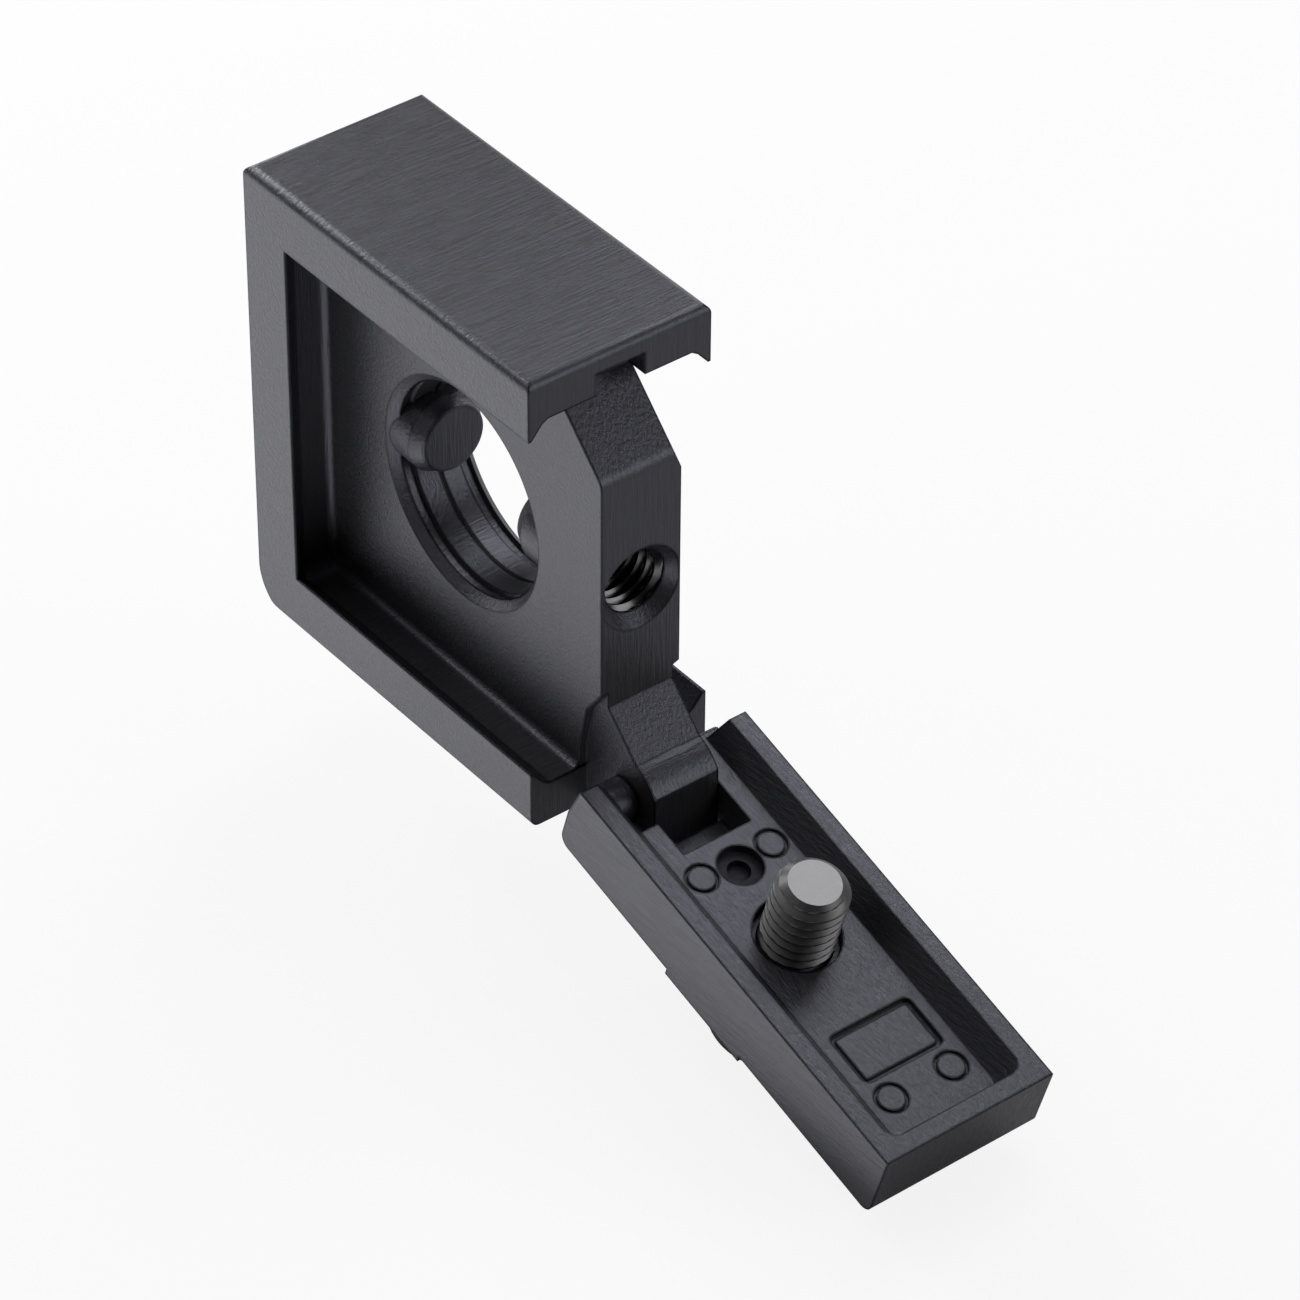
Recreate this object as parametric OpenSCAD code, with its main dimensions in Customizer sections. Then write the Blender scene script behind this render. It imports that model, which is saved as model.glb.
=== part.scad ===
// Hinged clamp that joins modular compressed-air units: a C-shaped cast frame with
// claw lips, a centre web with the air passage, and a hinged door with a clamp screw.
// Millimetres. Origin: centre of the air passage on the web's middle plane.
// +X points to the door side, +Y along the air flow, +Z up. The door is drawn open.

/* [Frame] */
// Width of the frame along the air flow
frame_width = 17; // [14:0.5:24]
// Distance from the passage axis to the outer face of the back wall
back_reach = 21; // [18:0.5:28]
// Distance from the passage axis to the open ends of both plates
plate_reach = 15; // [12:0.5:20]
// Half of the frame's outer height
half_height = 21; // [18:0.5:28]
// Thickness of the back wall and of both plates
wall = 3.7; // [2.5:0.1:6]
// Height of a claw above the wall it stands on
claw_height = 1.5; // [0.8:0.1:3]
// Width of a claw at its root
claw_root = 1.8; // [1:0.1:3]
// Width of the blunt tip of a claw
claw_tip = 0.25; // [0.1:0.05:1]
// Radius of the lower back corner
low_corner_radius = 3.8; // [1:0.1:6]
// Radius of the small outer edges
edge_radius = 0.8; // [0.3:0.1:1.5]
// Radius of the coves where the web meets the walls
cove_radius = 0.8; // [0.3:0.1:3]
// Radius of the inner corners between the walls
pocket_radius = 1.4; // [0.5:0.1:3]

/* [Web] */
// Thickness of the centre web
web_thickness = 7.5; // [5:0.1:12]
// Distance from the passage axis to the web's front edge
web_reach = 17.6; // [15:0.1:22]
// Sum of reach and height along the web's upper slope
web_slope_sum = 28.8; // [26:0.1:34]
// Height where the web's front edge ends above the hinge
web_low_end = -8.7; // [-14:0.1:-6]
// Width of the chamfer on the far side of the web's slope
slope_chamfer_width = 0.6; // [0.2:0.1:1.5]
// Drop of that chamfer along the web's front edge
slope_chamfer_drop = 1.5; // [0.5:0.1:3]

/* [Air passage] */
// Radius of the passage at the web's faces, outside the chamfer
mouth_radius = 9.8; // [8:0.1:12]
// Width of the chamfer at each mouth
mouth_chamfer = 0.8; // [0.3:0.1:1.5]
// Radius of the passage at the parting line
passage_radius = 8.85; // [7:0.05:11]
// Radius of the shallow step inside each mouth
step_radius = 9.35; // [8:0.05:12]
// Distance of the step's inner wall from the parting line
step_from_middle = 2.1; // [1:0.1:3]
// Depth and width of the fine groove at the parting line
parting_groove = 0.18; // [0.05:0.01:0.3]
// Radius of the two bosses that stand into the passage
boss_radius = 3; // [2:0.1:4]
// Radius of each boss at its root
boss_root_radius = 3.5; // [3:0.1:4]
// Distance from the passage axis to the end of the root
boss_root_reach = 7.2; // [7:0.1:9]
// Distance from the passage axis to the face of each boss
boss_face = 5.9; // [4:0.1:6.5]
// Width of the rounded edge round each boss's face
boss_edge = 0.4; // [0.1:0.05:0.5]

/* [Threaded holes] */
// Core radius of both threaded holes
thread_core_radius = 2.5; // [1.5:0.05:4]
// Depth of the clamp hole from the web's front edge
clamp_hole_depth = 10; // [6:0.5:14]
// Radius of the clamp hole's countersunk mouth
clamp_mouth_radius = 3.7; // [3:0.1:5]
// Depth of the rear mounting hole
rear_hole_depth = 13; // [6:0.5:16]
// Radius of the rear mounting hole's countersunk mouth
rear_mouth_radius = 3.2; // [2.6:0.1:5]

/* [Plate end notch] */
// Width of the notch above the web in the top plate's end
notch_width = 4.6; // [2:0.1:7]
// Height of the notch above the plate's underside
notch_height = 2; // [0.5:0.1:2.6]
// Depth of the notch behind the plate's end
notch_depth = 2; // [0.5:0.1:3]

/* [Hinge] */
// Reach of the hinge pin's axis from the passage axis
hinge_reach = 19.9; // [18:0.1:24]
// Height of the hinge pin's axis above the frame's bottom face
hinge_rise = 3.6; // [3:0.1:6]
// Radius of the hinge pin
pin_radius = 1; // [0.8:0.05:1.4]
// Radial play of the pin in the frame's tongue
pin_play = 0.05; // [0.02:0.01:0.1]
// Half of the hinge pin's length
pin_half_length = 7; // [5:0.1:8]
// Half width of the frame's hinge tongue
tongue_half_width = 3.1; // [2:0.1:4]
// Gap beside the tongue on each side
tongue_gap = 0.15; // [0.05:0.05:0.5]
// Reach of the tongue's nose
nose_reach = 23.4; // [21:0.1:26]
// Radius of the door's rounded ears around the pin
ear_radius = 1.85; // [1.6:0.05:3]
// Half width across the outside of both ears
ear_half_width = 6.4; // [4.5:0.1:8]

/* [Door] */
// Angle of the opened door below the horizontal
open_droop = 16.5; // [0:0.5:45]
// Width of the door along the air flow
door_width = 16; // [12:0.5:24]
// Distance from the pin axis to the door's lip tops
door_lip_level = 3.4; // [2:0.1:6]
// Distance from the pin axis to the door's outer face
door_outer_level = 3.4; // [2:0.1:6]
// Distance from the pin axis to the door's hinge end
door_hinge_end = 1; // [0.5:0.1:4]
// Distance of the closed door's far end below the frame's top face
door_top_gap = 0.3; // [0.1:0.1:2]
// Length of the slant at the hinge end of the door's lips
lip_end_slant = 0.65; // [0.2:0.05:1.5]
// Depth of the door's floor below its lip tops
lip_height = 2; // [1:0.1:3]
// Width of the flat top of a lip
lip_flat = 1.6; // [0.8:0.1:3]
// Width of the sloped inner side of a lip
lip_slope = 1.45; // [0.5:0.05:3]
// Width of the sloped inner side of the lip at the far end
end_lip_slope = 0.3; // [0.1:0.05:2]
// Distance from the pin axis to the far edge of the tongue's slot
slot_end = 7.2; // [6.6:0.1:9]
// Distance from the pin axis to the ledge that stops the door
stop_reach = 4.42; // [4.4:0.01:6]
// Thickness of the ledge that stops the door
stop_thickness = 1.5; // [1:0.1:2.5]
// Distance from the pin axis to the end of the pocket beside the slot
ear_pocket_end = 3.9; // [2:0.1:6]
// Depth of the pocket beside the slot
ear_pocket_depth = 2.2; // [1:0.1:4]
// Height of the raised band on the door's outer face
band_height = 0.6; // [0.3:0.1:1.5]
// Width of the raised band on the door's outer face
band_width = 9.2; // [6:0.1:14]

/* [Door floor marks] */
// Distance of the near pair of ejector marks from the pin axis
mark_near = 9.7; // [8:0.1:12]
// Distance of the far pair of ejector marks from the pin axis
mark_far = 32.8; // [28:0.1:35]
// Half spacing of the near pair of ejector marks across the door
mark_near_spacing = 3.35; // [2:0.05:3.5]
// Half spacing of the far pair of ejector marks across the door
mark_far_spacing = 2.9; // [2:0.05:3.5]
// Radius of an ejector mark's ring
mark_radius = 1.34; // [1:0.02:1.5]
// Width and depth of an ejector mark's ring
mark_groove = 0.22; // [0.1:0.02:0.5]
// Distance of the round gate mark from the pin axis
gate_place = 10.2; // [8:0.1:13]
// Radius of the round gate mark
gate_radius = 1.85; // [1:0.05:2.5]
// Depth of the round gate mark
gate_depth = 0.7; // [0.2:0.1:1.5]
// Radius of the pit in the gate mark
gate_pit_radius = 0.95; // [0.4:0.05:1.2]
// Depth of the pit below the gate mark
gate_pit_depth = 0.6; // [0.2:0.1:1.5]
// Distance from the pin axis to the near edge of the shallow panel
panel_start = 26.1; // [24:0.1:30]
// Length of the shallow panel
panel_length = 4.8; // [2:0.1:8]
// Width of the shallow panel
panel_width = 7.7; // [4:0.1:9]
// Depth of the shallow panel
panel_depth = 0.2; // [0.05:0.05:0.35]
// Width and depth of the groove round the shallow panel
panel_groove = 0.4; // [0.1:0.05:0.6]
// Radius of the panel's corners
panel_corner = 0.6; // [0.4:0.1:1.5]

/* [Clamp screw] */
// Outer radius of the clamp screw's thread
screw_radius = 3; // [2:0.1:4]
// Length of the clamp screw below its head
screw_length = 12; // [8:0.5:20]
// Height of the chamfer at the screw's tip
screw_tip_chamfer = 0.9; // [0.3:0.1:1.5]
// Radius of the screw's cylindrical head
head_radius = 5; // [4:0.1:7]
// Height of the screw's head
head_height = 6; // [3:0.1:8]
// Width across the flats of the hexagon socket
socket_width = 5; // [3:0.5:6]
// Depth of the hexagon socket
socket_depth = 3; // [1.5:0.1:5]
// Radius of the wide inner part of the door's screw hole
hole_wide_radius = 3.5; // [3.3:0.05:5]
// Depth of the wide inner part of the door's screw hole
hole_wide_depth = 2; // [1:0.1:3]
// Radius of the narrow outer part of the door's screw hole
hole_narrow_radius = 3.2; // [3.05:0.05:4.5]
// Thickness of the retaining ring
ring_thickness = 1; // [0.5:0.1:2]
// Radial play inside and outside the retaining ring
ring_play = 0.05; // [0.02:0.01:0.1]

/* [Hidden] */
$fn = 72;
e = 0.1;
half_width = frame_width / 2;
half_web = web_thickness / 2;
hinge_drop = half_height - hinge_rise;
door_far_end = hinge_drop + half_height - door_top_gap;
rim = wall + claw_height;
half_door = door_width / 2;
floor_level = door_lip_level - lip_height;
slot_half = tongue_half_width + tongue_gap;
// The closed door stands upright, so the screw meets the passage axis there.
screw_place = hinge_drop;
seat_level = -door_outer_level - band_height;

// Cutter that rounds one long edge: the edge runs along Z at the origin.
module edge_cutter(radius, length) {
    difference() {
        translate([-1, -1, 0])
            cube([radius + 1, radius + 1, length]);
        translate([radius, radius, -1])
            cylinder(r = radius, h = length + 2);
    }
}

// Filler for an inner corner: the corner runs along Z at the origin.
module corner_filler(radius, length) {
    difference() {
        translate([-e, -e, 0])
            cube([radius + e, radius + e, length]);
        translate([radius, radius, -1])
            cylinder(r = radius, h = length + 2);
    }
}

// Places a child drawn in the door's own frame: X along the door, Z towards its lips.
module on_door() {
    translate([hinge_reach, 0, -hinge_drop])
        rotate([0, open_droop, 0])
            children();
}

// Section of a wall with a claw at both edges, wall face at 0, claws towards +X.
module claw_section() {
    polygon([
        [0, -half_width],
        [rim, -half_width],
        [rim, -half_width + claw_tip],
        [wall + 0.35, -half_width + claw_root - 0.55],
        [wall, -half_width + claw_root],
        [wall, half_width - claw_root],
        [wall + 0.35, half_width - claw_root + 0.55],
        [rim, half_width - claw_tip],
        [rim, half_width],
        [0, half_width]
    ]);
}

module back_wall() {
    translate([-back_reach, 0, -half_height])
        linear_extrude(height = 2 * half_height)
            claw_section();
}

// Bottom plate; the top plate is its mirror image.
module low_plate() {
    translate([plate_reach, 0, -half_height])
        rotate([0, -90, 0])
            linear_extrude(height = back_reach + plate_reach)
                claw_section();
}

module web_plate() {
    translate([0, half_web, 0])
        rotate([90, 0, 0])
            linear_extrude(height = web_thickness)
                polygon([
                    [-back_reach + e, -half_height + e],
                    [plate_reach - e, -half_height + e],
                    [plate_reach - e, -half_height + wall + 2],
                    [web_reach - 1.8, web_low_end - 2.4],
                    [web_reach, web_low_end],
                    [web_reach, web_slope_sum - web_reach],
                    [web_slope_sum - half_height + wall, half_height - wall],
                    [web_slope_sum - half_height + wall, half_height - e],
                    [-back_reach + e, half_height - e]
                ]);
}

// Oblique chamfer along the far edge of the web's slope, down to a point on the front edge.
module slope_chamfer() {
    tilt = atan(slope_chamfer_drop / sqrt(2) / slope_chamfer_width);
    translate([web_reach, half_web - slope_chamfer_width, web_slope_sum - web_reach])
        rotate([0, 45, 0])
            rotate([-tilt, 0, 0])
                translate([-15, -4, 0])
                    cube([30, 8, 6]);
}

// Tongue that carries the hinge pin.
module hinge_tongue() {
    translate([0, tongue_half_width, 0])
        rotate([90, 0, 0])
            linear_extrude(height = 2 * tongue_half_width)
                polygon([
                    [plate_reach - 1, -half_height],
                    [nose_reach, -half_height],
                    [nose_reach, -hinge_drop + 2.3],
                    [hinge_reach + 1.2, -hinge_drop + 3.8],
                    [web_reach, min(-hinge_drop + 7.3, web_low_end - 0.2)],
                    [web_reach, web_low_end + 0.5],
                    [plate_reach - 1, web_low_end + 0.5]
                ]);
}

// Coves between the web and the three walls, on both faces of the web.
module web_coves() {
    slope_top = web_slope_sum - half_height + wall;
    difference() {
        for (side = [0, 1]) {
            mirror([0, side, 0]) {
                translate([-back_reach + wall, half_web, -half_height + wall - e])
                    corner_filler(cove_radius, 2 * (half_height - wall) + 2 * e);
                for (level = [0, 1]) {
                    mirror([0, 0, level])
                        translate([-back_reach + wall - e, half_web, half_height - wall])
                            rotate([0, 90, 0])
                                corner_filler(cove_radius, back_reach - wall + plate_reach);
                }
            }
        }
        // The upper coves end along the web's slope.
        translate([0, half_width, 0])
            rotate([90, 0, 0])
                linear_extrude(height = frame_width)
                    polygon([
                        [slope_top, half_height - wall + e],
                        [slope_top, half_height - wall],
                        [slope_top + 6, half_height - wall - 6],
                        [slope_top + 12, half_height - wall - 6],
                        [slope_top + 12, half_height - wall + e]
                    ]);
    }
}

// Rounded inner corners between the back wall and the plates.
module pocket_corners() {
    depth = half_width - claw_root - half_web + 0.4;
    for (side = [0, 1]) {
        for (level = [0, 1]) {
            mirror([0, side, 0])
                mirror([0, 0, level])
                    translate([-back_reach + wall, half_web - e, -half_height + wall])
                        rotate([-90, 0, 0])
                            mirror([0, 1, 0])
                                corner_filler(pocket_radius, depth);
        }
    }
}

module passage() {
    mouth_inner = mouth_radius - mouth_chamfer;
    rotate([-90, 0, 0])
        rotate_extrude()
            polygon([
                [0, -half_web - e],
                [mouth_radius + e, -half_web - e],
                [mouth_inner, -half_web + mouth_chamfer],
                [step_radius, -half_web + mouth_chamfer + 0.1],
                [step_radius, -step_from_middle],
                [mouth_inner, -step_from_middle + 0.1],
                [passage_radius, -parting_groove],
                [passage_radius + parting_groove, 0],
                [passage_radius, parting_groove],
                [mouth_inner, step_from_middle - 0.1],
                [step_radius, step_from_middle],
                [step_radius, half_web - mouth_chamfer - 0.1],
                [mouth_inner, half_web - mouth_chamfer],
                [mouth_radius + e, half_web + e],
                [0, half_web + e]
            ]);
}

// Bosses on the middle plane that close the two threaded holes.
module passage_bosses() {
    for (side = [0, 1]) {
        mirror([side, 0, 0])
            rotate([0, 90, 0])
                rotate_extrude()
                    polygon([
                        [0, boss_face],
                        [boss_radius - boss_edge, boss_face],
                        [boss_radius - boss_edge * 0.5, boss_face + boss_edge * 0.13],
                        [boss_radius - boss_edge * 0.13, boss_face + boss_edge * 0.5],
                        [boss_radius, boss_face + boss_edge],
                        [boss_root_radius, boss_root_reach],
                        [boss_root_radius, mouth_radius + 1],
                        [0, mouth_radius + 1]
                    ]);
    }
}

module clamp_hole() {
    mouth = clamp_mouth_radius - thread_core_radius;
    translate([web_reach + e, 0, 0])
        rotate([0, -90, 0])
            rotate_extrude()
                polygon([
                    [0, 0],
                    [clamp_mouth_radius + e, 0],
                    [thread_core_radius, mouth + e],
                    [thread_core_radius, clamp_hole_depth - 1.4 + e],
                    [0, clamp_hole_depth + e]
                ]);
}

module rear_hole() {
    mouth = rear_mouth_radius - thread_core_radius;
    translate([-back_reach - e, 0, 0])
        rotate([0, 90, 0])
            rotate_extrude()
                polygon([
                    [0, 0],
                    [rear_mouth_radius + e, 0],
                    [thread_core_radius, mouth + e],
                    [thread_core_radius, rear_hole_depth - 1.4 + e],
                    [0, rear_hole_depth + e]
                ]);
}

// Rounds the frame's outer edges along Y, and both plates' outer edges along X.
module frame_edges() {
    span = frame_width + 2;
    for (side = [0, 1]) {
        for (level = [0, 1]) {
            mirror([0, side, 0])
                mirror([0, 0, level])
                    translate([-back_reach - 1, -half_width, half_height])
                        rotate([0, 90, 0])
                            edge_cutter(edge_radius, back_reach + nose_reach + 2);
        }
    }
    translate([-back_reach, -span / 2, -half_height])
        rotate([-90, 0, 0])
            mirror([0, 1, 0])
                edge_cutter(low_corner_radius, span);
    translate([-back_reach, -span / 2, half_height])
        rotate([-90, 0, 0])
            edge_cutter(edge_radius, span);
    translate([plate_reach, -span / 2, half_height])
        rotate([-90, 0, 0])
            mirror([1, 0, 0])
                edge_cutter(edge_radius, span);
    translate([nose_reach, -span / 2, -half_height])
        rotate([-90, 0, 0])
            mirror([0, 1, 0])
                mirror([1, 0, 0])
                    edge_cutter(edge_radius * 0.5, span);
}

module clamp_body() {
    color([0.13, 0.13, 0.14])
        difference() {
            union() {
                difference() {
                    union() {
                        back_wall();
                        low_plate();
                        mirror([0, 0, 1])
                            low_plate();
                        difference() {
                            union() {
                                web_plate();
                                web_coves();
                            }
                            slope_chamfer();
                        }
                        hinge_tongue();
                        pocket_corners();
                    }
                    passage();
                }
                passage_bosses();
            }
            clamp_hole();
            rear_hole();
            frame_edges();
            translate([plate_reach - notch_depth, -notch_width / 2, half_height - wall - e])
                cube([notch_depth + 1, notch_width, notch_height + e]);
            translate([hinge_reach, 0, -hinge_drop])
                rotate([90, 0, 0])
                    cylinder(r = pin_radius + pin_play, h = 20, center = true);
        }
}

// Lip along one side of the door, at negative Y.
module side_lip() {
    translate([door_far_end, 0, 0])
        rotate([90, 0, -90])
            linear_extrude(height = door_far_end + door_hinge_end)
                polygon([
                    [half_door, floor_level - e],
                    [half_door, door_lip_level],
                    [half_door - lip_flat, door_lip_level],
                    [half_door - lip_flat - lip_slope, floor_level],
                    [half_door - lip_flat - lip_slope, floor_level - e]
                ]);
}

module end_lip() {
    translate([0, half_door, 0])
        rotate([90, 0, 0])
            linear_extrude(height = door_width)
                polygon([
                    [door_far_end, floor_level - e],
                    [door_far_end, door_lip_level],
                    [door_far_end - lip_flat, door_lip_level],
                    [door_far_end - lip_flat - end_lip_slope, floor_level],
                    [door_far_end - lip_flat - end_lip_slope, floor_level - e]
                ]);
}

module ejector_mark(place, offset_y) {
    translate([place, offset_y, floor_level - mark_groove])
        difference() {
            cylinder(r = mark_radius, h = 1, $fn = 36);
            translate([0, 0, -1])
                cylinder(r = mark_radius - mark_groove, h = 3, $fn = 36);
        }
}

// Block with four rounded upright corners, its lowest corner at the origin.
module rounded_block(length, width, height, radius) {
    translate([radius, 0, 0])
        cube([length - 2 * radius, width, height]);
    translate([0, radius, 0])
        cube([length, width - 2 * radius, height]);
    for (along = [radius, length - radius]) {
        for (across = [radius, width - radius]) {
            translate([along, across, 0])
                cylinder(r = radius, h = height, $fn = 36);
        }
    }
}

module floor_marks() {
    inner = max(0.1, panel_corner - panel_groove);
    for (side = [-1, 1]) {
        ejector_mark(mark_near, side * mark_near_spacing);
        ejector_mark(mark_far, side * mark_far_spacing);
    }
    translate([gate_place, 0, floor_level - gate_depth])
        cylinder(r = gate_radius, h = 2, $fn = 48);
    translate([gate_place, 0, floor_level - gate_depth - gate_pit_depth])
        cylinder(r = gate_pit_radius, h = 2, $fn = 36);
    // The shallow panel, with a deeper groove round it.
    translate([panel_start, -panel_width / 2, floor_level - panel_depth])
        rounded_block(panel_length, panel_width, 1, panel_corner);
    translate([panel_start, -panel_width / 2, floor_level - panel_groove])
        difference() {
            rounded_block(panel_length, panel_width, 1, panel_corner);
            translate([panel_groove, panel_groove, -1])
                rounded_block(panel_length - 2 * panel_groove, panel_width - 2 * panel_groove, 3, inner);
        }
}

module door() {
    length = door_far_end + door_hinge_end;
    color([0.15, 0.15, 0.16])
        on_door()
            difference() {
                union() {
                    difference() {
                        union() {
                            translate([-door_hinge_end, -half_door, -door_outer_level])
                                cube([length, door_width, door_outer_level + floor_level]);
                            side_lip();
                            mirror([0, 1, 0])
                                side_lip();
                            end_lip();
                            translate([screw_place - band_width / 2, -half_door, seat_level])
                                cube([band_width, door_width, band_height + e]);
                        }
                        // Slot for the tongue, open at the hinge end.
                        translate([-door_hinge_end - 1, -slot_half, -door_outer_level + stop_thickness])
                            cube([slot_end + door_hinge_end + 1, 2 * slot_half, 10]);
                        translate([-door_hinge_end - 1, -slot_half, -door_outer_level - 1])
                            cube([stop_reach + door_hinge_end + 1, 2 * slot_half, 10]);
                        // Pocket beside the slot on the near ear.
                        translate([-door_hinge_end - 1, -slot_half - 1.75, floor_level - ear_pocket_depth])
                            cube([ear_pocket_end + door_hinge_end + 1, 1.75 + e, 10]);
                        floor_marks();
                        // Screw hole with a wide inner part for the retaining ring.
                        translate([screw_place, 0, floor_level - hole_wide_depth])
                            cylinder(r = hole_wide_radius, h = 10);
                        translate([screw_place, 0, seat_level - 1])
                            cylinder(r = hole_narrow_radius, h = 12);
                        // Slant at the hinge end of the lips.
                        translate([0, half_door + 1, 0])
                            rotate([90, 0, 0])
                                linear_extrude(height = door_width + 2)
                                    polygon([
                                        [-door_hinge_end - 1, 0.3],
                                        [-door_hinge_end, 0.3],
                                        [-door_hinge_end + lip_end_slant, door_lip_level],
                                        [-door_hinge_end + lip_end_slant, door_lip_level + 1],
                                        [-door_hinge_end - 1, door_lip_level + 1]
                                    ]);
                        // Rounded outer edges at both ends.
                        translate([door_far_end, -half_door - 1, -door_outer_level])
                            rotate([-90, 0, 0])
                                mirror([1, 0, 0])
                                    mirror([0, 1, 0])
                                        edge_cutter(1, door_width + 2);
                        translate([-door_hinge_end, -half_door - 1, -door_outer_level])
                            rotate([-90, 0, 0])
                                mirror([0, 1, 0])
                                    edge_cutter(1, door_width + 2);
                    }
                    // Rounded ears around the pin; the far one is flush with the floor.
                    translate([0, -slot_half, 0])
                        rotate([90, 0, 0])
                            cylinder(r = ear_radius, h = ear_half_width - slot_half);
                    difference() {
                        translate([0, ear_half_width, 0])
                            rotate([90, 0, 0])
                                cylinder(r = ear_radius, h = ear_half_width - slot_half);
                        translate([-5, 0, floor_level])
                            cube([10, half_door, 5]);
                    }
                }
                // Pin hole, blind on the near side.
                translate([0, -pin_half_length, 0])
                    rotate([-90, 0, 0])
                        cylinder(r = pin_radius, h = pin_half_length + half_door + 1);
            }
}

module hinge_pin() {
    color([0.62, 0.62, 0.64])
        translate([hinge_reach, pin_half_length, -hinge_drop])
            rotate([90, 0, 0])
                rotate_extrude()
                    polygon([
                        [0, 0],
                        [pin_radius - 0.25, 0],
                        [pin_radius, 0.25],
                        [pin_radius, 2 * pin_half_length - 0.25],
                        [pin_radius - 0.25, 2 * pin_half_length],
                        [0, 2 * pin_half_length]
                    ]);
}

module clamp_screw() {
    color([0.35, 0.35, 0.36])
        on_door()
            translate([screw_place, 0, seat_level])
                difference() {
                    rotate_extrude()
                        polygon([
                            [0, -head_height],
                            [head_radius - 0.5, -head_height],
                            [head_radius, -head_height + 0.5],
                            [head_radius, -0.15],
                            [head_radius - 0.15, 0],
                            [screw_radius, 0],
                            [screw_radius, screw_length - screw_tip_chamfer],
                            [screw_radius - screw_tip_chamfer, screw_length],
                            [0, screw_length]
                        ]);
                    translate([0, 0, -head_height - 1])
                        cylinder(d = socket_width / cos(30), h = socket_depth + 1, $fn = 6);
                }
}

// Ring held in the door's hole; the screw turns with it and slides through it.
module screw_retainer() {
    color([0.06, 0.06, 0.065])
        on_door()
            translate([screw_place, 0, floor_level - hole_wide_depth])
                difference() {
                    cylinder(r = hole_wide_radius - ring_play, h = ring_thickness);
                    translate([0, 0, -1])
                        cylinder(r = screw_radius + ring_play, h = ring_thickness + 2);
                }
}

clamp_body();
door();
hinge_pin();
clamp_screw();
screw_retainer();
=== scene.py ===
"""Looks of the hinged clamp for modular air units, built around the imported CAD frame."""

import math

import bmesh
import bpy
from mathutils import Matrix, Vector


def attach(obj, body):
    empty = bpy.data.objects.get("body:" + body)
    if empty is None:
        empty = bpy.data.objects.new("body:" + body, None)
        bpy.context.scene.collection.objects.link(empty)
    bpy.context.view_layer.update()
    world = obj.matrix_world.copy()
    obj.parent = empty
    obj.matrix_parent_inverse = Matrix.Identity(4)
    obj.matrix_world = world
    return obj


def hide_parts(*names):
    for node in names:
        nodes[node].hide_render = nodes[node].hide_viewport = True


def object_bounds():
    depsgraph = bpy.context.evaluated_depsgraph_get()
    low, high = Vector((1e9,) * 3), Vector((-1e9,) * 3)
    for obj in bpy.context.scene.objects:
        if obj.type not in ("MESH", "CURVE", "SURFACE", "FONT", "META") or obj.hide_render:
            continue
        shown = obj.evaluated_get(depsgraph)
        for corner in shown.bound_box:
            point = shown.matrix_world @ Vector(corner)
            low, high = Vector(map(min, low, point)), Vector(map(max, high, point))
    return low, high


MM = 0.001

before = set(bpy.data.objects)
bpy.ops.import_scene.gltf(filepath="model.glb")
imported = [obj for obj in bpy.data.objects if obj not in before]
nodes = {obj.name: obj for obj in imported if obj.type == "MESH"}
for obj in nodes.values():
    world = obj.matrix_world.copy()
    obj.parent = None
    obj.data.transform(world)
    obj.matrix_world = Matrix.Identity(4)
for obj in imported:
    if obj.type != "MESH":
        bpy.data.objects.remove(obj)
cad_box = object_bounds()

# Places and sizes in the CAD, in millimetres, as part.scad has them.
HINGE = Vector((19.9, 0.0, -17.4))
DROOP = math.radians(16.5)
WEB_REACH = 17.6
WEB_SLOPE_SUM = 28.8
BACK_REACH = 21.0
CORE_RADIUS = 2.5
NOSE_REACH = 23.4
TONGUE_HALF_WIDTH = 3.1
FLOOR_LEVEL = 1.4
LIP_LEVEL = 3.4
GATE_PLACE = 10.2
GATE_RADIUS = 1.85
GATE_DEPTH = 0.7
GATE_PIT_DEPTH = 0.6
SCREW_PLACE = 17.4
SEAT_LEVEL = -4.0
SCREW_RADIUS = 3.0
SCREW_LENGTH = 12.0
TIP_CHAMFER = 0.9
HEAD_RADIUS = 5.0
HEAD_HEIGHT = 6.0
SOCKET_WIDTH = 5.0
SOCKET_DEPTH = 3.0
DOOR_FAR_END = 38.1
DOOR_HALF_WIDTH = 8.0
LIP_FLAT = 1.6
LIP_SLOPE = 1.45
END_LIP_SLOPE = 0.3

# What this script adds to the CAD, in millimetres.
PITCH = 1.0
SCREW_THREAD_DEPTH = 0.56
SCREW_THREAD_START = 0.8
SCREW_THREAD_FADE = 0.8
HOLE_THREAD_DEPTH = 0.48
HOLE_THREAD_FADE = 0.9
# How far the thread's crests stay inside the hole, and how far it starts outside the mouth.
HOLE_THREAD_INSET = 0.06
HOLE_THREAD_LEAD = 0.25
CLAMP_THREAD_LENGTH = 8.75
REAR_THREAD_LENGTH = 11.3
SOCKET_BEVEL = 0.12
SOCKET_CONE = 0.6
CREASE_ROUNDING = 1.5
CREASE_TOOL_HALF_WIDTH = 4.2
CORNER_ROUNDING = 1.1
CORNER_FILLER_DEPTH = 0.2
# Measured from the pin's axis: where the knuckle's arc starts, and its lowest level.
KNUCKLE_START = (1.2, 3.8)
KNUCKLE_FLOOR = 0.4
# How far the knuckle reaches back and down into the tongue, and its rise under the slope.
KNUCKLE_BACK, KNUCKLE_DOWN, KNUCKLE_RISE = 0.1, 0.2, 0.08
# How far a tool reaches past what it works on.
TOOL_MARGIN = 0.3
# Keeps two faces from lying in one plane.
HAIR = 0.001

# Vertices that lie closer than this are joined, in metres.
MERGE_DISTANCE = 1e-7
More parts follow.
